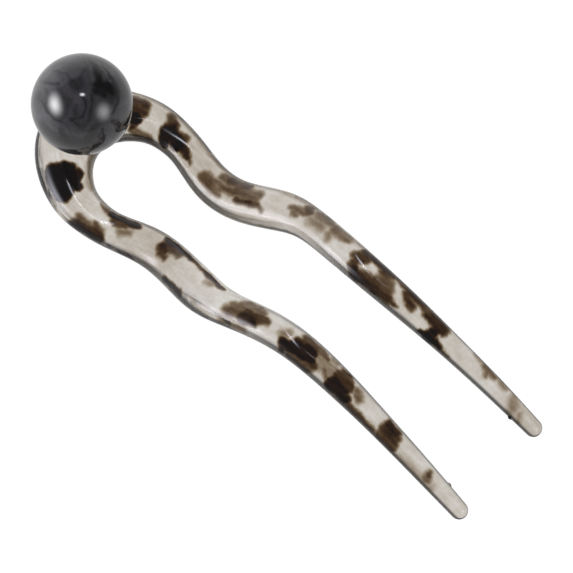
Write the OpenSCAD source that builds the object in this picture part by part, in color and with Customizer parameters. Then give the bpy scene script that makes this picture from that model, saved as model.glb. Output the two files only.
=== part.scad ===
// French hair pin: a wavy two-pronged fork of clear tortoiseshell plastic
// with a large marbled ball on its crown. Millimetres.
// The pin lies as on a table: +X runs from the ball to the prong tips, +Z is up,
// and the origin is under the middle of the pin, on the table.

/* [Ball] */
// Diameter of the ball
ball_d = 20; // [12:0.5:26]
// How deep the ball is let into the top of the crown
seat_depth = 0.5; // [0.2:0.1:1.5]
// Glue gap all round the ball in its seat
seat_gap = 0.15; // [0.1:0.05:0.3]

/* [Crown] */
// Length of the bend, from the ball's axis to where the prongs begin
bow_len = 12; // [10:0.5:18]
// Width of the crown bar under the ball, flat in the plane of the fork
crown_w = 14; // [11:0.25:16]
// Thickness of the crown bar under the ball
crown_t = 9; // [7:0.1:11]

/* [Prongs] */
// Length of the prongs, from the end of the bend to the tips
prong_len = 96; // [70:1:130]
// Distance between the middles of the two prongs at their tips
prong_pitch = 22.4; // [20:0.2:32]
// Width of a prong along its waves
prong_w = 8.4; // [6:0.1:10]
// Thickness of a prong along its waves
prong_t = 6.6; // [5:0.1:8]
// Width of a prong at its tip
tip_w = 3.6; // [2.4:0.1:6]
// Thickness of a prong at its tip
tip_t = 2.8; // [1.8:0.1:4]

/* [Waves] */
// Depth of the sideways waves, each way from the mean line of a prong
wave_d = 1.4; // [0:0.1:2.5]
// Height of the arch of the prongs, from the table to their underside
arch_h = 13; // [0:0.5:20]

/* [Gate marks] */
// Diameter of the small nub where each prong was snapped off its runner
gate_d = 1.2; // [0.6:0.1:1.6]
// How far a nub stands proud of the inner edge of its prong
gate_proud = 0.35; // [0.1:0.05:0.5]
// Distance from the tip of a prong to its nub, along the pin
gate_from_tip = 6.2; // [4:0.2:20]

/* [Peg] */
// Diameter of the hidden peg between the crown and the ball
peg_d = 3; // [2:0.25:4]
// Depth of the peg's hole in the crown, from the bottom of the seat
crown_hole = 4; // [2:0.25:5]
// Depth of the peg's hole in the ball
ball_hole = 6; // [3:0.25:8]
// Glue gap all round the peg and at both its ends
peg_gap = 0.1; // [0.05:0.05:0.2]

/* [Smoothness] */
// Number of facets around a prong
sides = 32; // [24:4:40]
// Number of rings between two rows of the section table
rings_per_row = 4; // [3:1:5]

/* [Hidden] */
$fn = 96;

// The sections of half the fork, from the middle of the crown to a tip.
// bend, along: share of bow_len and share of the prong's reach, along X
// side, wave: share of half the prong pitch and share of wave_d, sideways
// lift: share of arch_h, from the table to the underside
// crown, prong, tip: shares of the crown's, the prong's and the tip's section
sections = [
    // bend  along  side   wave   lift  crown  prong   tip
    [-0.20,  0.00,  0.00,  0.00,  0.00,  1.00,  0.00,  0.00],
    [ 0.05,  0.00,  0.60,  0.00,  0.00,  0.60,  0.40,  0.00],
    [ 0.55,  0.00,  0.93,  0.40,  0.00,  0.20,  0.80,  0.00],
    [ 1.00,  0.00,  0.96,  0.80,  0.00,  0.00,  0.97,  0.00],
    [ 1.00,  0.06,  0.96,  0.45,  0.00,  0.00,  0.89,  0.00],
    [ 1.00,  0.14,  0.95, -1.00,  0.00,  0.00,  0.97,  0.00],
    [ 1.00,  0.22,  0.95, -0.80,  0.07,  0.00,  1.00,  0.00],
    [ 1.00,  0.31,  0.95,  0.72,  0.40,  0.00,  1.02,  0.00],
    [ 1.00,  0.38,  0.95,  1.00,  0.68,  0.00,  0.85,  0.00],
    [ 1.00,  0.46,  0.95,  0.32,  0.90,  0.00,  0.82,  0.00],
    [ 1.00,  0.55,  0.95, -0.25,  1.00,  0.00,  0.79,  0.00],
    [ 1.00,  0.66,  0.95, -0.25,  0.90,  0.00,  0.72,  0.00],
    [ 1.00,  0.78,  0.96, -0.10,  0.66,  0.00,  0.45,  0.35],
    [ 1.00,  0.90,  0.98,  0.00,  0.33,  0.00,  0.20,  0.75],
    [ 1.00,  1.00,  1.00,  0.00,  0.00,  0.00,  0.00,  1.00],
];
last_row = len(sections) - 1;

// A prong's centreline stops short of its end by the round of the tip.
reach = prong_len - tip_w / 2;

// One row of the table in millimetres: x, y, height of the middle, width, thickness
function row_mm(r) = let(thick = r[5] * crown_t + r[6] * prong_t + r[7] * tip_t) [
    r[0] * bow_len + r[1] * reach,
    r[2] * prong_pitch / 2 + r[3] * wave_d,
    r[4] * arch_h + thick / 2,
    r[5] * crown_w + r[6] * prong_w + r[7] * tip_w,
    thick,
];
rows = [for (r = sections) row_mm(r)];

// The rows of the whole fork, mirrored across the crown and run on past the tips
function mirrored(r) = [r[0], -r[1], r[2], r[3], r[4]];
function row_at(i) =
    i < 0 ? mirrored(row_at(-i)) :
    i > last_row ? rows[last_row] + (i - last_row) * (rows[last_row] - rows[last_row - 1]) :
    rows[i];

// A smooth curve through the rows: a cubic B-spline, each of whose controls is
// moved out a little so that the curve passes through its row.
function control(i) = row_at(i) - (row_at(i - 1) - 2 * row_at(i) + row_at(i + 1)) / 6;
function blend(i, f) =
    pow(1 - f, 3) / 6 * control(i - 1)
    + (3 * pow(f, 3) - 6 * f * f + 4) / 6 * control(i)
    + (-3 * pow(f, 3) + 3 * f * f + 3 * f + 1) / 6 * control(i + 1)
    + pow(f, 3) / 6 * control(i + 2);
function section_at(u) = let(i = min(floor(u), last_row - 1)) blend(i, u - i);
function centre_at(u) = let(s = section_at(u)) [s[0], s[1], s[2]];

// The directions of a section: along the prong, flat across it, and over it
step = 0.01;
function unit(v) = v / norm(v);
function along_at(u) = unit(centre_at(u + step) - centre_at(u - step));
function across_at(u) = unit(cross([0, 0, 1], along_at(u)));

// One ring of points around the centreline. Past the end of the prong, round
// is the angle over its tip, from 0 at the last section to 90 at the end.
function ring(u, round, end) = let(
        s = section_at(u),
        ahead = along_at(u),
        across = across_at(u),
        over = cross(ahead, across),
        centre = [s[0], s[1], s[2]] + end * ahead * s[3] / 2 * sin(round)
    )
    [for (k = [0 : sides - 1]) let(a = 360 * k / sides)
        centre + cos(round) * (across * s[3] / 2 * cos(a) + over * s[4] / 2 * sin(a))];

tip_angles = [30, 52, 68, 80];
ring_count = 2 * last_row * rings_per_row + 1;
fork_rings = concat(
    [for (k = [len(tip_angles) - 1 : -1 : 0]) ring(-last_row, tip_angles[k], -1)],
    [for (k = [0 : ring_count - 1]) ring(k / rings_per_row - last_row, 0, 0)],
    [for (a = tip_angles) ring(last_row, a, 1)]
);

// The fork is set down on the table, and the pin's length is centred on the origin.
fork_points = [for (r = fork_rings) each r];
fork_back = min([for (p = fork_points) p[0]]);
fork_front = max([for (p = fork_points) p[0]]);
table_z = min([for (p = fork_points) p[2]]);
pin_back = min(fork_back, -ball_d / 2);
settle = [-(fork_front + pin_back) / 2, 0, -table_z];

// The ball's axis is the origin of the table of sections.
seat_z = crown_t - seat_depth;
ball_z = seat_z + ball_d / 2;

// A gate mark sits on the inner edge, where the prong has this distance to go.
gate_x = bow_len + prong_len - gate_from_tip;
gate_u = last_row - (rows[last_row][0] - gate_x) / (rows[last_row][0] - rows[last_row - 1][0]);

// A closed solid through a list of rings, each joined to the next
module swept(rings) {
    n = len(rings[0]);
    last = len(rings) - 1;
    walls = [for (r = [0 : last - 1], k = [0 : n - 1]) let(k2 = (k + 1) % n)
        each [[r * n + k, (r + 1) * n + k2, r * n + k2], [r * n + k, (r + 1) * n + k, (r + 1) * n + k2]]];
    ends = [[for (k = [0 : n - 1]) k], [for (k = [n - 1 : -1 : 0]) last * n + k]];
    polyhedron(points = [for (r = rings) each r], faces = concat(walls, ends), convexity = 8);
}

// The nub left on the inner edge of the prong on one side, +1 or -1
module gate_mark(side) {
    s = section_at(gate_u);
    inward = -across_at(gate_u) * sign(across_at(gate_u)[1]);
    spot = [s[0], s[1], s[2]] + inward * (s[3] / 2 + gate_proud - gate_d / 2);
    translate([spot[0], side * spot[1], spot[2]]) sphere(d = gate_d, $fn = 24);
}

module fork() {
    color("tan", 0.8) translate(settle) difference() {
        union() {
            swept(fork_rings);
            gate_mark(1);
            gate_mark(-1);
        }
        translate([0, 0, ball_z]) sphere(d = ball_d + 2 * seat_gap);
        translate([0, 0, seat_z - crown_hole])
            cylinder(d = peg_d + 2 * peg_gap, h = crown_hole + seat_depth);
    }
}

module ball() {
    color("dimgray") translate(settle) difference() {
        translate([0, 0, ball_z]) sphere(d = ball_d);
        translate([0, 0, seat_z - seat_depth])
            cylinder(d = peg_d + 2 * peg_gap, h = ball_hole + seat_depth);
    }
}

module ball_peg() {
    color("gainsboro") translate(settle) translate([0, 0, seat_z - crown_hole + peg_gap])
        cylinder(d = peg_d, h = crown_hole + ball_hole - 2 * peg_gap);
}

fork();
ball();
ball_peg();
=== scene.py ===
# %% [markdown]
# # A tortoiseshell french pin with a marbled ball
# A french pin is a two-pronged fork that holds a bun. This one is moulded in clear
# plastic with dark pigment swirled into it, and a glossy marbled ball is glued to its
# crown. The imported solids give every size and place. This lesson dresses them: it
# grows a fine skin over the fork, charts the tortoiseshell on it, marbles the ball,
# and lights the pin the way a product photographer does.

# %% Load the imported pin
import math

import bpy
import numpy as np
from mathutils import Matrix, Vector


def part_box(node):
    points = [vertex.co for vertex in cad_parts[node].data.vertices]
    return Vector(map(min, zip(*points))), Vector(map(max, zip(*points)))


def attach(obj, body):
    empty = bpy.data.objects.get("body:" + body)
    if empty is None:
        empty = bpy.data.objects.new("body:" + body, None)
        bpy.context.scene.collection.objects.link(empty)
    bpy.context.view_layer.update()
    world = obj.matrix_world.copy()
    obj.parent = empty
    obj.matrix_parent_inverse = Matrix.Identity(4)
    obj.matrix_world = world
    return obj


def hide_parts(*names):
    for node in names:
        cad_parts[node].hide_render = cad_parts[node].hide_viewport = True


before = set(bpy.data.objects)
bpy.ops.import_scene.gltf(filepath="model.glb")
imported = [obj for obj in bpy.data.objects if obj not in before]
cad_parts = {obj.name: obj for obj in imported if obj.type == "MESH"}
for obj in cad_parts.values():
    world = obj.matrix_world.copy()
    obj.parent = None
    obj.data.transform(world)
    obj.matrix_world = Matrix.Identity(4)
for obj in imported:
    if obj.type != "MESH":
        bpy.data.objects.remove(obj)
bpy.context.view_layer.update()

MM = 0.001
print("packed pieces:", sorted(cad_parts))

# %% [markdown]
# ## Where the camera stands
# The photograph looks down on the lying pin from well above, over the near prong. The
# angles, the distance and the lens are real settings of a camera on a stand. The lens
# is long, so that the prongs hardly converge.

# %% Place the camera
CAMERA_AZIMUTH = math.radians(40.12)
CAMERA_ELEVATION = math.radians(66.1)
CAMERA_ROLL = math.radians(0.79)
CAMERA_DISTANCE = 700 * MM
CAMERA_TARGET = Vector((2.8, 1.34, 5.03)) * MM
CAMERA_LENS_MM = 225.25


def camera_axes(azimuth, elevation, roll):
    """The right, up and back directions of a camera that looks at the pin."""
    right = Vector((math.cos(azimuth), math.sin(azimuth), 0))
    level = math.cos(elevation)
    back = Vector((math.sin(azimuth) * level, -math.cos(azimuth) * level, math.sin(elevation)))
    up = back.cross(right)
    turned = math.cos(roll) * right + math.sin(roll) * up
    return turned, back.cross(turned), back


def facing(right, up, back, place):
    """A matrix that stands an object at a place with these three axes."""
    turn = Matrix((right, up, back)).transposed().to_4x4()
    turn.translation = place
    return turn


right, up, back = camera_axes(CAMERA_AZIMUTH, CAMERA_ELEVATION, CAMERA_ROLL)
lens = bpy.data.cameras.new("camera")
lens.lens = CAMERA_LENS_MM
lens.sensor_width = 36
lens.clip_start = 0.01
camera = bpy.data.objects.new("camera", lens)
camera.matrix_world = facing(right, up, back, CAMERA_TARGET + CAMERA_DISTANCE * back)
bpy.context.scene.collection.objects.link(camera)
bpy.context.scene.camera = camera
bpy.context.scene.view_settings.view_transform = "Standard"
print("camera at", [round(v, 3) for v in camera.location])

# %% [markdown]
# ## Shader maths as plain expressions
# A procedural finish is arithmetic on patterns. The first class wraps one output of a
# node, so that a line such as `1 - mask * 0.5` adds the Math nodes by itself. Colours
# are mixed in Mix nodes, because a Math node would turn them grey. The second class is
# the node tree they live in: of a material, of a lamp or of the room.

# %% Wrap the sockets


class Wire:
    """One value in a node tree, which can be added, multiplied and compared."""

    def __init__(self, paint, socket):
        self.paint, self.socket = paint, socket

    def maths(self, operation, *others):
        """A Math node on this value and others."""
        return self.paint.node("ShaderNodeMath", {"operation": operation}, self, *others)[0]

    def __add__(self, other):
        return self.maths("ADD", other)

    def __sub__(self, other):
        return self.maths("SUBTRACT", other)

    def __rsub__(self, other):
        return self.paint.node("ShaderNodeMath", {"operation": "SUBTRACT"}, other, self)[0]

    def __mul__(self, other):
        return self.maths("MULTIPLY", other)

    __radd__, __rmul__ = __add__, __mul__

    def larger(self, other):
        return self.maths("MAXIMUM", other)

    def step_up(self, low, high):
        """0 below low, 1 above high, and a soft step between them."""
        settings = {"interpolation_type": "SMOOTHSTEP"}
        return self.paint.node("ShaderNodeMapRange", settings, Value=self, From_Min=low, From_Max=high)[0]


class Paint:
    """The node tree of a material, a lamp or the room, under construction."""

    def __init__(self, owner):
        owner.use_nodes = True
        self.owner, self.tree = owner, owner.node_tree
        self.tree.nodes.clear()

    def node(self, kind, settings=None, *values, **named):
        """Adds a node: its settings first, then its sockets in order, then by name."""
        made = self.tree.nodes.new(kind)
        for key, value in (settings or {}).items():
            setattr(made, key, value)
        free = [s for s in made.inputs if s.enabled]
        for socket, value in zip(free, values):
            self.feed(socket, value)
        for key, value in named.items():
            wanted = key.replace("_", " ")
            self.feed(next(s for s in free if s.name == wanted), value)
        return [Wire(self, s) for s in made.outputs if s.enabled]

    def feed(self, socket, value):
        """Links a wire to a socket, or sets the socket to a plain value."""
        if isinstance(value, Wire):
            self.tree.links.new(value.socket, socket)
        elif value is not None:
            socket.default_value = value

    def blend(self, amount, first, second):
        """A colour between two colours."""
        return self.node("ShaderNodeMix", {"data_type": "RGBA"}, amount, first, second)[0]

    def finish(self, shader, kind="ShaderNodeOutputMaterial"):
        """Ends the tree in its output."""
        self.node(kind, {}, shader)
        return self.owner


def chip(red, green, blue):
    """A paint chip's 0 to 255 values as the linear light it reflects."""
    levels = [c / 255 for c in (red, green, blue)]
    return (*[((c + 0.055) / 1.055) ** 2.4 if c > 0.04 else c / 12.92 for c in levels], 1.0)


print("a mid grey chip reflects", round(chip(119, 119, 119)[0], 3))

# %% [markdown]
# ## The fork's sections
# The fork is one moulded bar that bends round at the crown, waves sideways and arches
# up. A bar like this could be drawn as a bevelled curve, but its section changes all
# the way. So a short table says, at fifteen places from the crown to a tip, where the
# bar is and how wide and thick it is, in shares of a few real sizes. They are the same
# sizes as the solid's, and a smooth curve runs through them.

# %% Chart the sections
BOW_LEN, PRONG_LEN, PRONG_PITCH = 12.0, 96.0, 22.4
CROWN = np.array((14.0, 9.0))
PRONG = np.array((8.4, 6.6))
TIP = np.array((3.6, 2.8))
WAVE, ARCH = 1.4, 13.0
BALL_D, SEAT_DEPTH, SEAT_GAP = 20.0, 0.5, 0.15

# bend, along, side, wave, lift, crown share, prong share, tip share
SECTIONS = np.array([
    (-0.20, 0.00, 0.00, 0.00, 0.00, 1.00, 0.00, 0.00),
    (0.05, 0.00, 0.60, 0.00, 0.00, 0.60, 0.40, 0.00),
    (0.55, 0.00, 0.93, 0.40, 0.00, 0.20, 0.80, 0.00),
    (1.00, 0.00, 0.96, 0.80, 0.00, 0.00, 0.97, 0.00),
    (1.00, 0.06, 0.96, 0.45, 0.00, 0.00, 0.89, 0.00),
    (1.00, 0.14, 0.95, -1.00, 0.00, 0.00, 0.97, 0.00),
    (1.00, 0.22, 0.95, -0.80, 0.07, 0.00, 1.00, 0.00),
    (1.00, 0.31, 0.95, 0.72, 0.40, 0.00, 1.02, 0.00),
    (1.00, 0.38, 0.95, 1.00, 0.68, 0.00, 0.85, 0.00),
    (1.00, 0.46, 0.95, 0.32, 0.90, 0.00, 0.82, 0.00),
    (1.00, 0.55, 0.95, -0.25, 1.00, 0.00, 0.79, 0.00),
    (1.00, 0.66, 0.95, -0.25, 0.90, 0.00, 0.72, 0.00),
    (1.00, 0.78, 0.96, -0.10, 0.66, 0.00, 0.45, 0.35),
    (1.00, 0.90, 0.98, 0.00, 0.33, 0.00, 0.20, 0.75),
    (1.00, 1.00, 1.00, 0.00, 0.00, 0.00, 0.00, 1.00),
])
bend, along, side, wave, lift, *shares = SECTIONS.T
size = np.outer(shares[0], CROWN) + np.outer(shares[1], PRONG) + np.outer(shares[2], TIP)
rows = np.column_stack([
    bend * BOW_LEN + along * (PRONG_LEN - TIP[0] / 2),
    side * PRONG_PITCH / 2 + wave * WAVE,
    lift * ARCH + size[:, 1] / 2,
    size,
])
LAST = len(rows) - 1
print("rows from the crown to a tip:", len(rows))

# %% [markdown]
# ## A smooth curve through the rows
# A cubic B-spline has no kink even in its curvature, which matters here, because a
# glossy bar shows every kink in its highlights. The rows are mirrored for the other
# prong, and each control is moved out a little so that the curve meets its row.

# %% Run the curve
MIRROR = np.array((1, -1, 1, 1, 1))
run_on = [rows[-1] + k * (rows[-1] - rows[-2]) for k in (1, 2, 3)]
half = np.array([*rows, *run_on])
whole = np.concatenate([half[:0:-1] * MIRROR, half])
controls = whole.copy()
controls[1:-1] = whole[1:-1] - (whole[:-2] - 2 * whole[1:-1] + whole[2:]) / 6
MIDDLE = len(half) - 1


def section_at(u):
    """x, y, z, width and thickness in millimetres at rows u, minus to the near prong."""
    i = np.minimum(np.floor(u), LAST - 1).astype(int)
    f = (u - i)[:, None]
    a, b, c, d = (controls[MIDDLE + i + k] for k in (-1, 0, 1, 2))
    return (
        (1 - f) ** 3 * a + (3 * f**3 - 6 * f**2 + 4) * b
        + (-3 * f**3 + 3 * f**2 + 3 * f + 1) * c + f**3 * d
    ) / 6


def unit(v):
    return v / np.linalg.norm(v, axis=-1, keepdims=True)


def directions(u, step=0.01):
    """Along the bar, flat across it and over it, at rows u."""
    ahead = unit(section_at(u + step)[:, :3] - section_at(u - step)[:, :3])
    across = unit(np.cross((0, 0, 1), ahead))
    return ahead, across, np.cross(ahead, across)


fine = np.linspace(-LAST, LAST, 6001)
pieces = np.linalg.norm(np.diff(section_at(fine)[:, :3], axis=0), axis=1)
travel = np.concatenate([[0], np.cumsum(pieces)])
travel -= travel[len(fine) // 2]
HALF_RUN = travel[-1]
print("from the middle of the crown to a tip, round the bends:", round(HALF_RUN, 1), "mm")

# %% [markdown]
# ## The fork's skin
# The solid's facets are right for physics, but a clear glossy bar needs a finer skin:
# light bends at its front and its back, and facets would show twice. A subdivision
# modifier could smooth the solid, but it would also shrink it. So the skin is a new
# grid of rings through the same curve, closed by rounded tips.

# %% Lay out the rings
SIDES = 88
RING_STEP = 0.27


def ring_points(u, tip_angle, end):
    """Points round the bar at rows u. tip_angle runs over the tip, end is -1, 0 or 1."""
    section = section_at(u)
    ahead, across, over = directions(u)
    centre = section[:, :3] + (end * np.sin(tip_angle) * section[:, 3] / 2)[:, None] * ahead
    turn = 2 * np.pi * np.arange(SIDES) / SIDES
    wide = (np.cos(tip_angle) * section[:, 3] / 2)[:, None, None] * across[:, None]
    thick = (np.cos(tip_angle) * section[:, 4] / 2)[:, None, None] * over[:, None]
    return centre[:, None] + wide * np.cos(turn)[None, :, None] + thick * np.sin(turn)[None, :, None]


# a few more rings carry the skin round each tip, in steps of 8 degrees
tip_angles = np.radians(np.arange(8, 89, 8))
count = int(2 * HALF_RUN / RING_STEP)
rows_along = np.interp(np.linspace(-HALF_RUN, HALF_RUN, count), travel, fine)
first = ring_points(np.full(len(tip_angles), -LAST, float), tip_angles[::-1], -1)
middle = ring_points(rows_along, np.zeros(count), 0)
final = ring_points(np.full(len(tip_angles), LAST, float), tip_angles, 1)
skin = np.concatenate([first, middle, final])
u_of_ring = np.concatenate([np.full(len(first), -LAST), rows_along, np.full(len(final), LAST)])
run_of_ring = np.interp(u_of_ring, fine, travel)
print("rings:", len(skin), "points round each:", SIDES)

# %% [markdown]
# ## Seat and gate marks
# Two small things break the smooth bar. The ball sits in a shallow round seat on the
# crown, and each prong keeps a nub where it was snapped off its runner. Both are made
# by pushing skin points out to a small sphere: down for the seat, outward for a nub.

# %% Press the seat and raise the nubs
GATE_D, GATE_PROUD, GATE_FROM_TIP = 1.2, 0.35, 6.2
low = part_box("fork")[0]
settle = np.array(low) / MM - skin.reshape(-1, 3).min(0)
settle[1] = 0
ball_centre = np.array((0, 0, CROWN[1] - SEAT_DEPTH + BALL_D / 2))


def push_out(points, centre, radius):
    """Moves the points that lie inside a sphere out to its surface."""
    away = points - centre
    far = np.linalg.norm(away, axis=-1, keepdims=True)
    return np.where(far < radius, centre + away / far * radius, points)


gate_x = BOW_LEN + PRONG_LEN - GATE_FROM_TIP
gate_u = np.array([LAST - (rows[-1, 0] - gate_x) / (rows[-1, 0] - rows[-2, 0])])
gate_section = section_at(gate_u)[0]
inward = -directions(gate_u)[1][0]
gate_spot = gate_section[:3] + inward * (gate_section[3] / 2 + GATE_PROUD - GATE_D / 2)
skin = push_out(skin, ball_centre, BALL_D / 2 + SEAT_GAP)
for mirror in (1, -1):
    skin = push_out(skin, gate_spot * (1, mirror, 1), GATE_D / 2)
skin = skin + settle
ball_centre = ball_centre + settle
print("the ball's axis is at x =", round(ball_centre[0], 2), "mm")

# %% [markdown]
# ## The tortoiseshell pattern of the far prong
# Real tortoiseshell plastic is clear stock with drops of dark pigment stirred in, so
# its spots are soft-edged drops that run into one another. A noise texture alone would
# scatter them at random, but the eye knows this pin by where its spots are, so they are
# charted. Each entry is one drop drawn out between two places. A place is given by how
# far it lies from the middle of the crown, by the turn round the bar, where 0 is the
# outer edge, 90 the top and 180 the inner edge, and by the drop's half width there. The
# last number is how dense its pigment is: 2 looks tan, 5 brown and 9 black. Four thin
# lines at 170 to 179 degrees are not pigment but painted shade: the dark line that the
# bent light draws along the inner edge.

# %% Chart the far prong's drops
# millimetres, degrees, half width, the same for the other end, and the density
FAR_PRONG_DROPS_AND_SHADE = [
    (12.0, 66, 1.3, 13.3, 72, 1.6, 4.0), (12.2, 92, 1.5, 13.8, 88, 1.5, 4.6),
    (12.4, 112, 1.2, 13.1, 110, 1.2, 9.0), (12.7, 128, 1.0, 12.2, 138, 0.6, 5.3),
    (13.0, 146, 1.0, 18.0, 158, 1.0, 2.7), (19.2, 60, 0.9, 20.2, 80, 1.3, 4.0),
    (20.3, 88, 1.3, 20.5, 110, 1.6, 5.2), (20.4, 112, 1.4, 21.5, 136, 1.2, 8.5),
    (21.0, 100, 1.5, 24.2, 112, 1.4, 8.0), (24.0, 82, 0.9, 24.0, 98, 1.1, 4.2),
    (22.4, 94, 1.0, 24.0, 90, 1.0, 4.5), (24.2, 108, 1.1, 28.0, 112, 0.6, 6.5),
    (28.0, 112, 0.5, 29.3, 118, 0.25, 3.8), (33.4, 108, 1.3, 37.5, 106, 1.3, 2.4),
    (36.4, 66, 1.2, 38.5, 66, 1.3, 2.4), (38.5, 66, 1.2, 43.5, 62, 1.2, 3.7),
    (34.6, 120, 0.8, 38.0, 122, 0.7, 2.5), (41.5, 82, 1.4, 47.1, 85, 1.4, 2.5),
    (42.4, 110, 0.6, 48.0, 111, 0.6, 4.4), (43.0, 98, 0.8, 47.5, 98, 0.8, 2.3),
    (48.5, 117, 0.4, 49.6, 125, 0.4, 2.9), (56.6, 104, 0.6, 57.8, 102, 0.65, 2.7),
    (55.8, 90, 0.7, 59.3, 84, 0.9, 2.5), (58.6, 64, 1.1, 59.4, 74, 1.0, 3.2),
    (61.2, 60, 1.2, 64.2, 58, 1.1, 2.4), (65.9, 60, 1.1, 69.4, 57, 1.1, 2.4),
    (61.2, 94, 1.2, 64.0, 90, 1.1, 0.95), (66.5, 70, 1.2, 69.2, 60, 1.0, 2.2),
    (66.2, 92, 0.8, 66.6, 110, 0.7, 1.3), (72.8, 92, 0.8, 74.2, 62, 1.0, 4.4),
    (73.6, 50, 0.8, 80.5, 47, 0.6, 6.0), (74.3, 124, 0.9, 75.2, 148, 1.2, 6.5),
    (75.4, 136, 1.1, 82.6, 134, 0.9, 5.3), (74.3, 84, 1.0, 75.0, 74, 0.8, 4.1),
    (79.0, 72, 1.1, 80.4, 96, 1.1, 3.0), (78.6, 110, 1.0, 81.8, 112, 0.8, 3.6),
    (82.8, 132, 0.8, 84.6, 132, 0.3, 4.6), (77.5, 52, 0.9, 80.5, 60, 0.7, 4.2),
    (84.8, 54, 0.9, 94.6, 60, 0.9, 4.7), (84.6, 74, 0.8, 87.0, 92, 0.7, 4.4),
    (86.2, 100, 0.5, 87.0, 104, 0.45, 4.3), (89.8, 78, 0.7, 94.4, 78, 1.0, 5.2),
    (93.2, 92, 1.1, 93.0, 118, 1.0, 5.5), (93.0, 124, 1.2, 93.2, 142, 1.4, 9.0),
    (91.2, 147, 0.5, 93.0, 140, 0.8, 8.5), (94.6, 136, 0.8, 96.0, 148, 0.5, 8.0),
    (96.6, 150, 0.4, 98.4, 152, 0.3, 3.0), (102.0, 50, 0.3, 111.0, 46, 0.4, 1.5),
    (105.0, 60, 0.8, 107.6, 62, 0.8, 2.2), (105.7, 66, 0.9, 106.3, 90, 0.45, 2.3),
    (109.2, 58, 0.5, 110.7, 60, 0.5, 1.5), (113.2, 60, 1.1, 114.2, 110, 1.1, 0.9),
    (114.2, 110, 1.1, 114.8, 150, 1.0, 0.8), (116.2, 100, 0.5, 117.0, 160, 0.5, 1.2),
    # the thin lines at 170 to 179 degrees, here and on the next line, are painted shade along the inner
    # edge
    (20.0, 170, 0.1, 34.0, 172, 0.1, 3.5), (34.0, 173, 0.1, 50.0, 178, 0.1, 5.0),
    (50.0, 178, 0.1, 57.0, 179, 0.05, 3.5), (9.0, 32, 0.5, 30.0, 44, 0.5, 0.9),
    (30.0, 40, 0.6, 44.0, 44, 0.6, 1.3), (80.5, 44, 0.55, 85.5, 48, 0.8, 4.2),
    # the last entry here, at 172 to 174 degrees round the crown, is also painted shade along the inner
    # edge
    (78.8, 96, 0.9, 80.6, 100, 0.9, 2.6), (0.0, 174, 0.4, 20.0, 172, 0.35, 4.0),
    (52.0, 46, 0.6, 72.0, 44, 0.6, 0.5), (73.6, 96, 0.9, 73.9, 122, 1.0, 4.8),
    (75.8, 124, 0.8, 79.0, 114, 0.9, 4.0), (81.2, 84, 0.9, 81.8, 100, 0.8, 2.6),
    (37.0, 98, 0.8, 42.0, 93, 0.9, 2.5),
]
print("drops on the far prong:", len(FAR_PRONG_DROPS_AND_SHADE))

# %% [markdown]
# ## The tortoiseshell pattern of the near prong
# No two prongs are alike, because the pigment sets as it flows. The near prong has the
# big black spot beside the ball. It could be copied from the far prong and shifted, but
# the eye is quick to find a repeat, so it has a chart of its own, written the same way.

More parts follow.
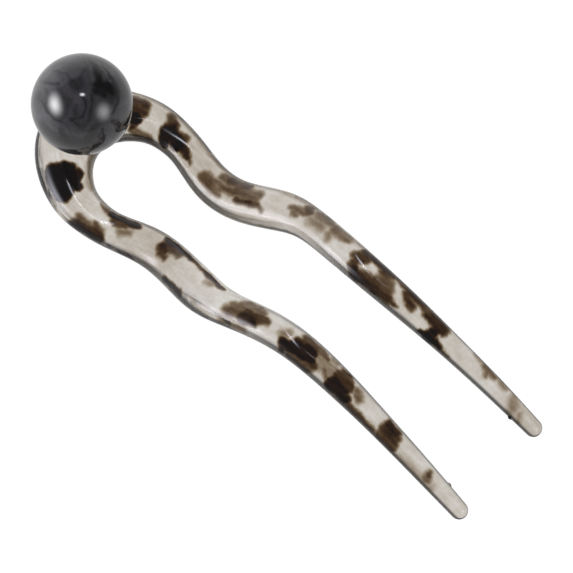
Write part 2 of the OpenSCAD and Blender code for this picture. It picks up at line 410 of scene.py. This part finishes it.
# %% Chart the near prong's drops
NEAR_PRONG = [
    (14.3, 66, 2.1, 11.0, 66, 2.1, 9.5), (14.0, 92, 1.6, 10.9, 91, 1.9, 9.0),
    (11.8, 112, 1.2, 12.6, 108, 1.1, 9.0), (14.9, 105, 0.9, 14.6, 98, 1.1, 8.5),
    (16.0, 141, 0.9, 9.0, 152, 0.9, 0.9), (24.4, 34, 1.4, 20.2, 28, 1.3, 5.7),
    (24.2, 50, 1.2, 23.2, 60, 0.9, 3.5), (22.0, 46, 1.2, 20.0, 50, 0.9, 2.6),
    (30.6, 118, 0.8, 24.6, 121, 0.8, 7.2), (28.2, 107, 1.0, 26.0, 104, 1.0, 4.1),
    (24.2, 120, 0.6, 21.2, 130, 0.3, 3.4), (30.0, 88, 0.6, 28.2, 77, 0.8, 1.4),
    (32.2, 3, 0.7, 29.6, 5, 0.7, 8.0), (40.2, 76, 0.7, 38.3, 82, 0.9, 3.1),
    (38.9, 92, 0.9, 37.6, 98, 1.2, 4.2), (42.2, 106, 0.8, 38.0, 108, 1.2, 3.3),
    (44.6, 127, 0.55, 37.2, 125, 0.7, 8.5), (50.0, 127, 0.35, 45.0, 128, 0.4, 6.3),
    (57.0, 125, 0.35, 50.0, 127, 0.5, 7.2), (54.0, 112, 0.9, 52.8, 108, 0.6, 1.4),
    (49.6, 28, 0.8, 43.6, 24, 0.7, 7.0), (69.3, 88, 0.8, 66.5, 80, 1.3, 4.0),
    (67.2, 66, 0.9, 64.5, 66, 1.1, 6.0), (66.8, 84, 1.0, 64.8, 84, 1.0, 4.8),
    (67.5, 104, 1.2, 63.2, 104, 1.2, 2.4), (66.5, 118, 0.8, 64.0, 118, 0.8, 3.2),
    (64.0, 70, 1.1, 60.8, 70, 1.1, 2.9), (65.0, 90, 1.2, 61.6, 88, 1.0, 2.5),
    (65.6, 24, 0.8, 60.0, 22, 0.7, 1.7), (65.0, 40, 0.8, 60.5, 42, 0.7, 0.7),
    (74.4, 28, 0.7, 74.2, 54, 1.2, 7.2), (75.5, 60, 1.2, 79.8, 72, 1.1, 8.0),
    (76.4, 86, 1.1, 79.6, 92, 1.0, 6.5), (76.3, 30, 0.9, 80.4, 36, 1.2, 3.5),
    (76.8, 106, 0.8, 79.5, 108, 0.9, 4.0), (76.5, 120, 0.6, 79.5, 124, 0.6, 3.8),
    (80.8, 52, 1.0, 81.2, 62, 0.8, 3.9), (82.0, 112, 0.7, 80.2, 118, 0.8, 3.4),
    (73.7, 92, 0.9, 72.9, 80, 0.7, 1.6), (89.8, 46, 0.9, 85.7, 46, 1.1, 7.5),
    (88.4, 62, 1.0, 85.6, 66, 1.1, 7.5), (88.6, 92, 1.0, 85.7, 90, 1.2, 4.8),
    (88.0, 110, 0.9, 86.0, 108, 0.9, 3.7), (87.6, 128, 0.5, 85.6, 126, 0.5, 4.7),
    (91.5, 84, 0.8, 90.2, 102, 0.9, 2.1), (84.2, 60, 0.6, 83.0, 74, 0.6, 2.5),
    (84.0, 124, 0.5, 83.0, 126, 0.5, 1.8), (97.4, 32, 0.5, 91.0, 36, 0.8, 3.7),
    (102.1, 45, 1.2, 99.0, 45, 1.2, 4.0), (101.5, 80, 1.2, 98.9, 80, 1.2, 4.1),
    (101.0, 104, 0.9, 98.8, 106, 1.0, 5.5), (110.9, 82, 0.7, 110.8, 96, 0.6, 3.8),
    (111.1, 62, 1.1, 110.8, 80, 0.9, 2.2), (113.0, 36, 0.8, 104.6, 38, 0.8, 0.7),
    (9.0, 152, 0.9, 0.0, 160, 0.9, 1.2), (79.0, 84, 1.7, 84.0, 88, 1.5, 1.3),
    (88.0, 24, 0.9, 104.0, 22, 0.9, 0.5),
]
print("drops on the near prong:", len(NEAR_PRONG))

# %% [markdown]
# ## From drops to pigment on the skin
# Each point of the skin is given a place on the chart, and takes its pigment from the
# densest drop over it. Adding the drops up would make dark knots wherever two overlap.
# Even the palest drop of the real plastic has an edge that can be seen, so every drop
# gets a little stain on top of its density, and dense drops end more sharply than thin
# ones. Slow and quick waves push the places about a little, so that no outline looks
# drawn with a compass.

# %% Spread the pigment
STAIN = 0.6
SHARP_EDGE, THIN_EDGE, EDGE_FALL = 0.4, 0.9, 1.3
WANDER, RIPPLE = 0.12, 0.05

# turns past 225 degrees are counted back from the outer edge
turn_grid = np.degrees(2 * np.pi * np.arange(SIDES) / SIDES)[None] + np.zeros((len(skin), 1))
turn_grid = np.where(turn_grid < 225, turn_grid, turn_grid - 360)
run_grid = run_of_ring[:, None] + np.zeros(SIDES)
radius_grid = section_at(u_of_ring)[:, 3:].sum(1)[:, None] / 4 + np.zeros(SIDES)


def soft_step(value):
    """0 below -1, 1 above 1, and a soft step between them."""
    share = np.clip(value / 2 + 0.5, 0, 1)
    return share * share * (3 - 2 * share)


def pigment_of(drops, run, turn, radius):
    """How dense the pigment is at each point, from the densest drop over it."""
    around = np.radians(turn) * radius
    run = run + WANDER * np.sin(2.1 * around + 1.3 * run) + RIPPLE * np.sin(5.3 * around - 2.9 * run)
    slow, quick = np.sin(1.9 * run + 1.3 * around), np.sin(5.7 * run - 3.3 * around)
    around = around + WANDER * slow + RIPPLE * quick
    densest = np.zeros(run.shape)
    for run_a, turn_a, half_a, run_b, turn_b, half_b, density in drops:
        x, y = run - run_a, around - math.radians(turn_a) * radius
        dx, dy = run_b - run_a, math.radians(turn_b - turn_a) * radius
        share = np.clip((x * dx + y * dy) / (dx**2 + dy**2), 0, 1)
        depth = half_a + share * (half_b - half_a) - np.hypot(x - share * dx, y - share * dy)
        cover = soft_step(depth / (SHARP_EDGE + THIN_EDGE / (density + STAIN))) ** EDGE_FALL
        densest = np.maximum(densest, (density + STAIN) * cover)
    return densest


# the far chart's four edge lines bring painted shade into this too
drops_and_shade = np.where(
    run_grid > 0,
    pigment_of(FAR_PRONG_DROPS_AND_SHADE, run_grid, turn_grid, radius_grid),
    pigment_of(NEAR_PRONG, -run_grid, turn_grid, radius_grid),
)
print("share of the skin under dark drops:", round(float((drops_and_shade > 2).mean()), 2))

# %% [markdown]
# ## Haze in the clear stock
# The clear stock isn't water-clear. A little pigment is dissolved in it, more at the
# bends and less along the waves. One colour for all of it would look like window glass,
# so a short list gives the haze at places along the bar, from the near tip round the
# crown to the far tip, and the skin takes what lies between.

# %% Add the haze
# millimetres from the middle of the crown, minus to the near prong, and the density
HAZE = [
    (-118, 0.15), (-105, 0.13), (-94, 0.14), (-83, 0.1), (-57, 0.06), (-48, 0.08), (-40, 0.34),
    (-34, 0.33), (-27, 0.16), (-22, 0.1), (-16, 0.2), (-8, 0.09), (0, 0.18), (14, 0.18), (31, 0.3),
    (42, 0.22), (54, 0.14), (70, 0.1), (88, 0.18), (97, 0.18), (105, 0.1), (110, 0.12), (118, 0.26),
]
pigment_and_shade_grid = drops_and_shade + np.interp(run_grid, *zip(*HAZE))
print("places with a haze of their own:", len(HAZE))

# %% [markdown]
# ## Tools for the meshes
# Both big pieces are rings of points joined into quads: the bar's rings follow its
# curve, and the ball's are turned on a lathe. Both also have a hole for the peg. It is
# cut by a Boolean with a turned pin, as a drill would on the bench, because through
# clear plastic it can be seen from below.

# %% Make the mesh tools
PEG_D, PEG_GAP, CROWN_HOLE, BALL_HOLE = 3.0, 0.1, 4.0, 6.0


def add_piece(name, points, faces):
    """A smooth mesh object from points in millimetres."""
    mesh = bpy.data.meshes.new(name)
    mesh.from_pydata((np.asarray(points) * MM).tolist(), [], faces)
    mesh.shade_smooth()
    made = bpy.data.objects.new(name, mesh)
    bpy.context.scene.collection.objects.link(made)
    return made


def through_rings(name, grid):
    """A closed mesh through a grid of rings, with a fan of triangles at each end."""
    around = grid.shape[1]
    ring = np.arange(around)
    after = (ring + 1) % around
    base = (np.arange(len(grid) - 1) * around)[:, None]
    quads = np.stack([base + ring, base + after, base + around + after, base + around + ring], -1)
    points = np.concatenate([grid.reshape(-1, 3), [grid[0].mean(0), grid[-1].mean(0)]])
    end = (len(grid) - 1) * around
    fans = [(len(points) - 2, b, a) for a, b in zip(ring, after)]
    fans += [(len(points) - 1, end + a, end + b) for a, b in zip(ring, after)]
    return add_piece(name, points, quads.reshape(-1, 4).tolist() + fans)


def turned(name, outline, place, around=96):
    """A lathe-turned mesh from an outline of radius and height."""
    turn = 2 * np.pi * np.arange(around) / around
    circle = np.column_stack([np.cos(turn), np.sin(turn), np.zeros(around)])
    grid = np.array([circle * radius + (0, 0, height) for radius, height in outline])
    return through_rings(name, grid + place)


def bore(piece, bottom, top):
    """Cuts the peg's hole out of a piece."""
    hole = turned("hole", [(PEG_D / 2 + PEG_GAP, bottom), (PEG_D / 2 + PEG_GAP, top)], ball_axis)
    cut = piece.modifiers.new("bore", "BOOLEAN")
    cut.object = hole
    cut.solver = "EXACT"
    seen = piece.evaluated_get(bpy.context.evaluated_depsgraph_get())
    mesh = bpy.data.meshes.new_from_object(seen)
    piece.modifiers.clear()
    piece.data = mesh
    bpy.data.objects.remove(hole)


ball_axis = np.array((ball_centre[0], 0, 0))
seat_bottom = ball_centre[2] - BALL_D / 2
print("the seat's lowest point is at z =", round(seat_bottom, 2), "mm")

# %% [markdown]
# ## The fork's mesh
# Each point of the fork keeps two things for its finish to read. One is the density of
# its pigment. The other is its place on the unrolled bar, with the distance along the
# bar shortened four times: a noise that is read there comes out drawn along the bar,
# as the stock flowed in the mould. A UV map could hold it too, but it would need a seam.

# %% Build the fork
FLOW_STRETCH = 4
fork = through_rings("fork_moulding", skin)
ends = (pigment_and_shade_grid[0].mean(), pigment_and_shade_grid[-1].mean())
values = np.append(pigment_and_shade_grid.reshape(-1), ends).astype(np.float32)
fork.data.attributes.new("pigment_and_shade", "FLOAT", "POINT").data.foreach_set("value", values)
around_grid = np.radians(turn_grid) * radius_grid
unrolled = np.stack([run_grid / FLOW_STRETCH, around_grid, around_grid * 0], -1).reshape(-1, 3)
unrolled = np.concatenate([unrolled, np.zeros((2, 3))]).astype(np.float32).reshape(-1)
fork.data.attributes.new("chart", "FLOAT_VECTOR", "POINT").data.foreach_set("vector", unrolled)
bore(fork, seat_bottom - CROWN_HOLE, seat_bottom + 2)
print("faces of the fork:", len(fork.data.polygons))

# %% [markdown]
# ## The ball's mesh
# The ball is a true sphere, so it is turned from a half circle. An icosphere would do as
# well, but rings give even rows of points, which the streaks will need: they are held
# by the points, so the points lie close. Then each piece is hung on the imported body,
# and the imported solid it stands for is hidden.

# %% Build the ball and place both pieces
latitudes = np.radians(np.linspace(-89, 89, 180))
ball_outline = [(BALL_D / 2 * math.cos(a), BALL_D / 2 * math.sin(a)) for a in latitudes]
ball = turned("marbled_ball", ball_outline, ball_centre, around=300)
bore(ball, seat_bottom - 2, seat_bottom + BALL_HOLE)
print("faces of the ball:", len(ball.data.polygons))

for piece, node, slot in ((fork, "fork", "tortoiseshell_plastic"), (ball, "ball", "marbled_ball")):
    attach(piece, "root")
    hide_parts(node)

# %% [markdown]
# ## Clear plastic with pigment in it
# Pigment darkens by the same share for each bit of depth, so the colour is the clear
# plastic's, times a falling exponential of the pigment's density. Blue is held back
# more than red, which turns thin pigment tan, thicker pigment brown and thick pigment
# black, and gives every black drop its brown fringe. Four noises work on the pigment:
# clouds and streaks of flow in the drops, and fine specks and broad patches all over.
# Light crosses the skin twice, once in and once out, so each crossing takes half. A
# volume inside the bar would be closer to nature, but it renders slowly and can't hold
# a chart. The colour sits on the skin, and the clear plastic behind it bends the light.

# %% Mix the tortoiseshell
# the share of red, green and blue that clear plastic lets through at each crossing
CLEAR_PLASTIC = (0.68, 0.655, 0.62)
# how strongly pigment holds back each of them
HELD_BACK = (1.0, 1.22, 1.52)
# the little that comes through even the densest drop
LEAST_THROUGH = 0.0001
CLOUD_SHARE, FLOW_SHARE = 0.8, 1.2
SPECK_DEPTH, PATCH_DEPTH, FLOW_DEPTH = 0.2, 0.2, 0.5

shell = Paint(bpy.data.materials.new("tortoiseshell"))
shell_place = shell.node("ShaderNodeTexCoord")[3]
cloudy = shell.node("ShaderNodeTexNoise", {}, shell_place, Scale=420.0, Detail=4.0, Roughness=0.6)[0]
specks = shell.node("ShaderNodeTexNoise", {}, shell_place, Scale=1500.0, Detail=2.0)[0]
# this attribute holds the pigment and, along the far prong's inner edge, painted shade
pigment_and_shade = shell.node("ShaderNodeAttribute", {"attribute_name": "pigment_and_shade"})[2]
patches = shell.node("ShaderNodeTexNoise", {}, shell_place, Scale=160.0, Detail=3.0)[0]
on_bar = shell.node("ShaderNodeAttribute", {"attribute_name": "chart"})[1]
flow = shell.node("ShaderNodeTexNoise", {}, on_bar, Scale=0.9, Detail=3.0, Roughness=0.6)[0]
pigment_and_shade = pigment_and_shade * (cloudy * CLOUD_SHARE + flow * FLOW_SHARE)
pigment_and_shade = pigment_and_shade + (specks - 0.5) * SPECK_DEPTH + (patches - 0.5) * PATCH_DEPTH
pigment_and_shade = pigment_and_shade + (flow - 0.5) * FLOW_DEPTH
channels = [
    (pigment_and_shade * -share).maths("EXPONENT") * clear + LEAST_THROUGH
    for share, clear in zip(HELD_BACK, CLEAR_PLASTIC)
]
tint = shell.node("ShaderNodeCombineColor", {}, *channels)[0]
plastic = shell.node(
    "ShaderNodeBsdfPrincipled", {}, Base_Color=tint, Roughness=0.08, IOR=1.49,
    Transmission_Weight=1.0, Specular_Tint=(0.62, 0.62, 0.68, 1),
)[0]
shell.finish(plastic)
fork.data.materials.clear()
fork.data.materials.append(shell.owner)
print("nodes in the tortoiseshell:", len(shell.tree.nodes))

# %% [markdown]
# ## The marbled ball
# The ball is cast in charcoal resin with a darker and a paler colour stirred in once
# or twice, which leaves long loops and streaks. They are charted like the drops: each
# line runs over the ball between two places, given as a compass bearing and a height
# in degrees, with the streak's half width at both and how far it darkens or, with a
# minus, pales the resin. A wave texture bent by noise would give plausible marble, but
# never these loops. A few broad entries low on the side toward the camera darken the
# ball's lower front. The one along its low rim is painted shade, standing in for a
# shadowed table mirrored there.

# %% Chart the streaks
# bearing, height, half width, the same for the other end, and the strength
STREAKS_AND_SHADE = [
    (117, 47, 0.45, 104, 59, 0.6, 0.9), (104, 59, 0.6, 79, 67, 0.8, 0.95),
    (79, 67, 0.8, 52, 68, 0.9, 0.95), (52, 68, 0.9, 38, 65, 1.0, 0.95),
    (32, 67, 1.3, 36, 59, 1.5, 0.85), (36, 59, 1.5, 36, 47, 1.0, 0.85),
    (12, 67, 0.9, 19, 57, 0.8, 0.8),
    (31, 44, 0.5, 21, 40, 0.35, 0.8), (21, 40, 0.35, 10, 38, 0.3, 0.8), (10, 38, 0.3, 0, 38, 0.3, 0.8),
    (-174, 53, 0.3, -172, 69, 0.3, 0.45), (-172, 69, 0.3, -147, 81, 0.3, 0.4),
    (-147, 81, 0.3, -61, 82, 0.3, 0.35), (-41, 74, 0.2, -34, 68, 0.25, 0.7),
    (-34, 68, 0.2, -37, 58, 0.2, 0.7), (-37, 58, 0.2, -41, 50, 0.2, 0.7),
    (-41, 50, 0.2, -49, 46, 0.2, 0.65), (-49, 46, 0.2, -62, 46, 0.2, 0.6),
    (-8, 69, 0.25, -20, 60, 0.25, 0.6), (-20, 60, 0.25, -28, 51, 0.25, 0.6),
    (-28, 51, 0.25, -35, 45, 0.25, 0.6), (-121, 39, 0.22, -110, 38, 0.22, 0.7),
    (-110, 38, 0.22, -98, 38, 0.25, 0.7), (-98, 38, 0.22, -87, 38, 0.2, 0.7),
    (-87, 38, 0.2, -72, 39, 0.2, 0.6), (-72, 39, 0.2, -58, 38, 0.3, 0.5),
    (-150, 45, 0.3, -140, 63, 0.35, 0.65), (-86, 64, 1.1, -75, 47, 1.0, 0.45),
    (-76, 27, 0.6, -72, 21, 0.5, 0.7), (-58, 62, 0.4, -52, 49, 0.4, 0.4),
    (127, 54, 0.2, 112, 66, 0.2, 0.5), (112, 66, 0.2, 101, 89, 0.25, 0.35),
    (82, 52, 0.3, 59, 53, 0.3, 0.6), (-31, 32, 1.0, -42, 20, 0.9, 0.55),
    (95, 54, 0.3, 74, 56, 0.35, -0.8), (74, 56, 0.35, 51, 52, 0.3, -0.8),
    (109, 64, 0.35, 77, 73, 0.4, -0.6), (77, 73, 0.4, 36, 75, 0.3, -0.6),
    (-157, 59, 2.2, 131, 62, 2.0, -0.35), (-118, 26, 1.5, -91, 23, 1.5, -0.3),
    (-138, 68, 0.5, 169, 83, 0.5, -0.4), (-160, 42, 0.5, 175, 58, 0.6, -0.5),
    # the first entry here is painted shade: it darkens the ball's low rim toward the camera, in place of
    # a shadowed table mirrored there
    (-84, 4, 1.2, -40, 2, 1.4, 0.5), (150, 20, 1.2, 100, 24, 1.0, -0.3),
    (-150, 12, 1.0, -120, 2, 1.2, 0.6), (0, 10, 1.2, 40, 6, 1.0, 0.6),
    (-170, -30, 1.4, -90, -24, 1.2, 0.7), (60, 20, 0.6, 110, 4, 0.8, 0.8),
    (120, -10, 0.5, 170, 10, 0.4, 0.8), (80, -30, 1.0, 130, -36, 1.2, 0.6),
    (20, -30, 0.8, 60, -20, 0.6, -0.5), (-49, 46, 0.2, -66, 42, 0.2, 0.6),
    # both entries here darken the ball's lower front, toward the camera, in broad bands
    (-78, 32, 1.8, -30, 30, 1.8, 0.22), (-96, 14, 1.8, -40, 12, 1.8, 0.6),
    (-24, 36, 0.5, -36, 18, 0.6, 0.5), (-165, 74, 1.0, 140, 80, 1.0, -0.45),
]
print("streaks charted:", len(STREAKS_AND_SHADE))

# %% [markdown]
# ## From streaks to layers on the ball
# Each point of the ball takes the strongest dark streak and the strongest pale streak
# that pass over it, in two layers. The points are first moved about by slow and quick
# waves, so that the streaks waver as stirred resin does. A streak runs along a great
# circle, because a straight line would cut through the ball.

# %% Spread the streaks
WAVER, SHIMMER = 0.25, 0.12
STREAK_EDGE = 0.25


def on_ball(turn, height):
    """The place on the ball at a bearing and a height, in millimetres from its middle."""
    turn, height = math.radians(turn), math.radians(height)
    level = math.cos(height)
    return BALL_D / 2 * np.array((level * math.cos(turn), level * math.sin(turn), math.sin(height)))


places = np.array([tuple(v.co) for v in ball.data.vertices]) / MM - ball_centre
slow_wave = np.sin(places[:, (1, 2, 0)] * 0.9 + 1.0)
quick_wave = np.sin(places[:, (2, 0, 1)] * 2.6)
bent = places + WAVER * slow_wave + SHIMMER * quick_wave
bent = bent / np.linalg.norm(bent, axis=1, keepdims=True) * BALL_D / 2
darker_and_shade, paler = np.zeros(len(places)), np.zeros(len(places))
for turn_a, height_a, half_a, turn_b, height_b, half_b, strength in STREAKS_AND_SHADE:
    start, stop = on_ball(turn_a, height_a), on_ball(turn_b, height_b)
    chord = stop - start
    share = np.clip((bent - start) @ chord / (chord @ chord), 0, 1)
    bow = start + share[:, None] * chord
    bow = bow / np.linalg.norm(bow, axis=1, keepdims=True) * BALL_D / 2
    depth = half_a + share * (half_b - half_a) - np.linalg.norm(bent - bow, axis=1)
    cover = abs(strength) * soft_step(depth / (STREAK_EDGE + 0.3 * max(half_a, half_b)))
    if strength > 0:
        darker_and_shade = np.maximum(darker_and_shade, cover)
    else:
        paler = np.maximum(paler, cover)
for name, layer in (("darker_and_shade", darker_and_shade), ("paler", paler)):
    ball.data.attributes.new(name, "FLOAT", "POINT").data.foreach_set("value", layer.astype(np.float32))
print("share of the ball darkened:", round(float((darker_and_shade > 0.3).mean()), 2))

# %% [markdown]
# ## The marbled resin
# Under the streaks the charcoal isn't even: a twisted noise blends a darker and a paler
# charcoal. Then the pale layer goes on, and the dark layer over it, because the dark
# streaks cross the pale ones. Cast resin comes out of a polished mould, so it is almost
# mirror smooth.

# %% Mix the resin
DEEP_CHARCOAL, CHARCOAL = chip(38, 37, 40), chip(66, 64, 68)
# the dark streak colour also paints the shade at the ball's low rim
PALE_STREAK, DARK_STREAK_AND_SHADE = chip(86, 84, 88), chip(6, 6, 7)

marble = Paint(bpy.data.materials.new("marble"))
marble_place = marble.node("ShaderNodeTexCoord")[3]
swirl = marble.node(
    "ShaderNodeTexNoise", {}, marble_place, Scale=130.0, Detail=4.0, Roughness=0.55, Distortion=2.2,
)[0]
resin = marble.blend(swirl.step_up(0.3, 0.7), DEEP_CHARCOAL, CHARCOAL)
# the dark layer also carries the painted shade at the ball's low rim
for layer_name, streak_colour in (("paler", PALE_STREAK), ("darker_and_shade", DARK_STREAK_AND_SHADE)):
    layer_wire = marble.node("ShaderNodeAttribute", {"attribute_name": layer_name})[2]
    resin = marble.blend(layer_wire, resin, streak_colour)
marble.finish(marble.node("ShaderNodeBsdfPrincipled", {}, Base_Color=resin, Roughness=0.06, IOR=1.5)[0])
ball.data.materials.clear()
ball.data.materials.append(marble.owner)
print("nodes in the marble:", len(marble.tree.nodes))

# %% [markdown]
# ## The hidden peg
# A ball like this is held by glue and a peg. The photograph hides the joint, so the peg
# is a plain pin of the same clear plastic without pigment, a little frosted by the
# glue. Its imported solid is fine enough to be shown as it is, in this finish.

# %% Mix the peg's plastic
peg_paint = Paint(bpy.data.materials.new("peg_plastic"))
peg_place = peg_paint.node("ShaderNodeTexCoord")[3]
frost = peg_paint.node("ShaderNodeTexNoise", {}, peg_place, Scale=700.0)[0]
peg_tint = peg_paint.blend(frost, chip(214, 208, 200), chip(226, 222, 214))
peg_paint.finish(peg_paint.node(
    "ShaderNodeBsdfPrincipled", {}, Base_Color=peg_tint, Roughness=0.2, IOR=1.49, Transmission_Weight=1.0,
)[0])
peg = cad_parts["ball_peg"]
peg.data.materials.clear()
peg.data.materials.append(peg_paint.owner)
print("peg shown:", peg.name)

# %% [markdown]
# ## A plain pale table
# A clear thing shows best on opal glass that is lit from below. So the table is one
# square of it, which glows by itself. It glows a little more beside the ball, on the
# side of the pale wall, and a little less far from the pin on the other side, and the
# ball's lower half mirrors both. The camera sees one even white. The table is left out
# of what shines through the plastic: that comes from the room below, in the next step.

# %% Lay the table
TABLE_HALF = 1500
WALL_BEARING = 175
SEEN_GLOW, PANEL_GLOW = 0.97, 0.7
DIMMED, BRIGHTENED = 0.3, 0.4


def bearing(degrees):
    """A level direction, as a compass would give it, from +X toward +Y."""
    return (math.cos(math.radians(degrees)), math.sin(math.radians(degrees)), 0)


def reach_along(paint, place, direction):
    """How far a place lies in a direction, as a wire."""
    return paint.node("ShaderNodeVectorMath", {"operation": "DOT_PRODUCT"}, place, direction)[-1]


corners = [(x * TABLE_HALF, y * TABLE_HALF, 0) for x, y in ((-1, -1), (1, -1), (1, 1), (-1, 1))]
table = add_piece("table", corners, [(0, 1, 2, 3)])
opal = Paint(bpy.data.materials.new("opal_glass"))
table_place = opal.node("ShaderNodeTexCoord")[3]
grain = opal.node("ShaderNodeTexNoise", {}, table_place, Scale=400.0)[0]
wall_side = reach_along(opal, table_place, bearing(WALL_BEARING))
from_pin = opal.node("ShaderNodeVectorMath", {"operation": "LENGTH"}, table_place)[-1]
dimmer = from_pin.step_up(0.05, 0.35) * (1 - wall_side.step_up(-0.08, 0.08)) * DIMMED
panel = PANEL_GLOW - dimmer + wall_side.step_up(0.03, 0.13) * BRIGHTENED
glow = opal.node("ShaderNodeLightPath")[0] * (SEEN_GLOW - panel) + panel
sheet = opal.blend(grain, (0.24, 0.24, 0.24, 1), (0.26, 0.26, 0.26, 1))
opal.finish(opal.node(
    "ShaderNodeBsdfPrincipled", {}, Base_Color=sheet, Roughness=0.9, Emission_Strength=1.0,
    Emission_Color=opal.node("ShaderNodeCombineColor", {}, glow, glow, glow)[0],
)[0])
table.data.materials.append(opal.owner)
table.visible_transmission = False
print("table", 2 * TABLE_HALF * MM, "m square")

# %% [markdown]
# ## The room
# The room is a picture of light in every direction, worked out from the direction
# itself, where a photographed room could be wrapped round the scene instead. A pale
# wall stands beyond the ball, a low pale band runs all round, and the ceiling is dim,
# which keeps the ball dark. Below the horizon lies the light that shines up through
# the plastic. It falls off sideways: at the edges of the bar the light is bent most, so
# the edges turn dark, and that draws the outline of a clear thing on a white ground.

# %% Paint the room
WALL_LIGHT, BAND_LIGHT, ROOM_LIGHT, SEEN_ROOM = 0.95, 0.35, 0.12, 0.9
FAR_FALL, NEAR_FALL = 0.85, 0.45

room = Paint(bpy.data.worlds.new("studio"))
direction = room.node("ShaderNodeTexCoord")[0]
rise = room.node("ShaderNodeSeparateXYZ", {}, direction)[2]
toward_wall = reach_along(room, direction, bearing(WALL_BEARING))
wall = toward_wall.step_up(-0.3, 0.6) * (1 - rise.step_up(0.05, 0.85))
to_camera = room.node("ShaderNodeLightPath")[0]
band = 1 - rise.step_up(-0.05, 0.35)
above = (wall * WALL_LIGHT).larger(band * BAND_LIGHT) + ROOM_LIGHT
beyond = reach_along(room, direction, bearing(90))
fall = beyond.step_up(0.68, 0.98) * FAR_FALL
below = 1 - fall - (0 - beyond).step_up(0.25, 0.6) * NEAR_FALL
radiance = (0 - rise).step_up(0.0, 0.1) * (below - above) + above
shown = to_camera * (SEEN_ROOM - radiance) + radiance
backdrop = room.node("ShaderNodeBackground", {}, (1, 1, 1, 1), shown)[0]
bpy.context.scene.world = room.finish(backdrop, "ShaderNodeOutputWorld")
print("nodes in the room:", len(room.tree.nodes))

# %% [markdown]
# ## The lamps
# Every bright spot on a glossy thing is a picture of a lamp, so its place, size and
# softness tell where the lamp hangs and how large it is. The ball shows a soft light
# on each side and a small hard one overhead. The bar shows a broad soft light along
# its left side and thin white lines on its ridge. The bar curves, so no lamps that
# suit the ball put the lines where they should be. Some lamps therefore light only the
# ball and others only the fork, as small black flags between lamp and thing would do.
# A softbox is brightest in the middle of its cloth, which gives the spots soft edges.

# %% Hang the lamps
LAMP_TINT = (0.97, 0.97, 1, 1)
LEFT, LEFT_LOW, RIGHT = (-0.553, -0.710, 0.439), (-0.549, -0.783, 0.16), (0.896, 0.148, 0.419)
OVERHEAD, AHEAD, ASLANT = (0.066, -0.026, 0.996), (0.06, 0.02, 0.998), (-0.225, 0.165, 0.96)


def softbox(name, toward, distance, width, height, radiance, level=None, piece=None):
    """A lamp with a soft edge that faces the pin from a direction, for all or for one piece."""
    light = bpy.data.lights.new(name, "AREA")
    light.shape = "RECTANGLE"
    light.size, light.size_y = width, height
    # at this power the cloth's strength is its radiance
    light.energy = math.pi * width * height
    cloth = Paint(light)
    spot = cloth.node("ShaderNodeNewGeometry")[5]
    off = cloth.node("ShaderNodeVectorMath", {"operation": "DISTANCE"}, spot, (0.5, 0.5, 0))[-1]
    shade = 1 - off.step_up(0.0, 0.5)
    strength = shade * shade * radiance
    cloth.finish(cloth.node("ShaderNodeEmission", {}, LAMP_TINT, strength)[0], "ShaderNodeOutputLight")
    toward = Vector(toward).normalized()
    sideways = Vector((0, 0, 1)).cross(toward) if level is None else Vector(level)
    sideways = (sideways - sideways.dot(toward) * toward).normalized()
    lamp = bpy.data.objects.new(name, light)
    lamp.matrix_world = facing(sideways, toward.cross(sideways), toward, distance * toward)
    lamp.visible_transmission = False
    bpy.context.scene.collection.objects.link(lamp)
    if piece:
        lit = bpy.data.collections.new(name)
        lit.objects.link(piece)
        lamp.light_linking.receiver_collection = lit


# name, direction, distance, width, height, radiance, the way its long side points, piece
softbox("left_softbox", LEFT, 0.7, 0.96, 0.72, 17.5, piece=ball)
softbox("left_softbox_fork", LEFT, 0.7, 0.88, 0.66, 11.0, piece=fork)
softbox("low_softbox", LEFT_LOW, 0.7, 0.88, 0.34, 9.0, piece=fork)
softbox("right_softbox", RIGHT, 0.8, 0.96, 1.08, 5.6)
softbox("ceiling_lamp", OVERHEAD, 1.2, 0.43, 0.28, 24.0, bearing(40), ball)
softbox("long_strip", AHEAD, 1.2, 0.3, 0.1, 12.0, bearing(0), fork)
softbox("slanting_strip", ASLANT, 1.2, 1.3, 0.17, 24.0, bearing(118), fork)
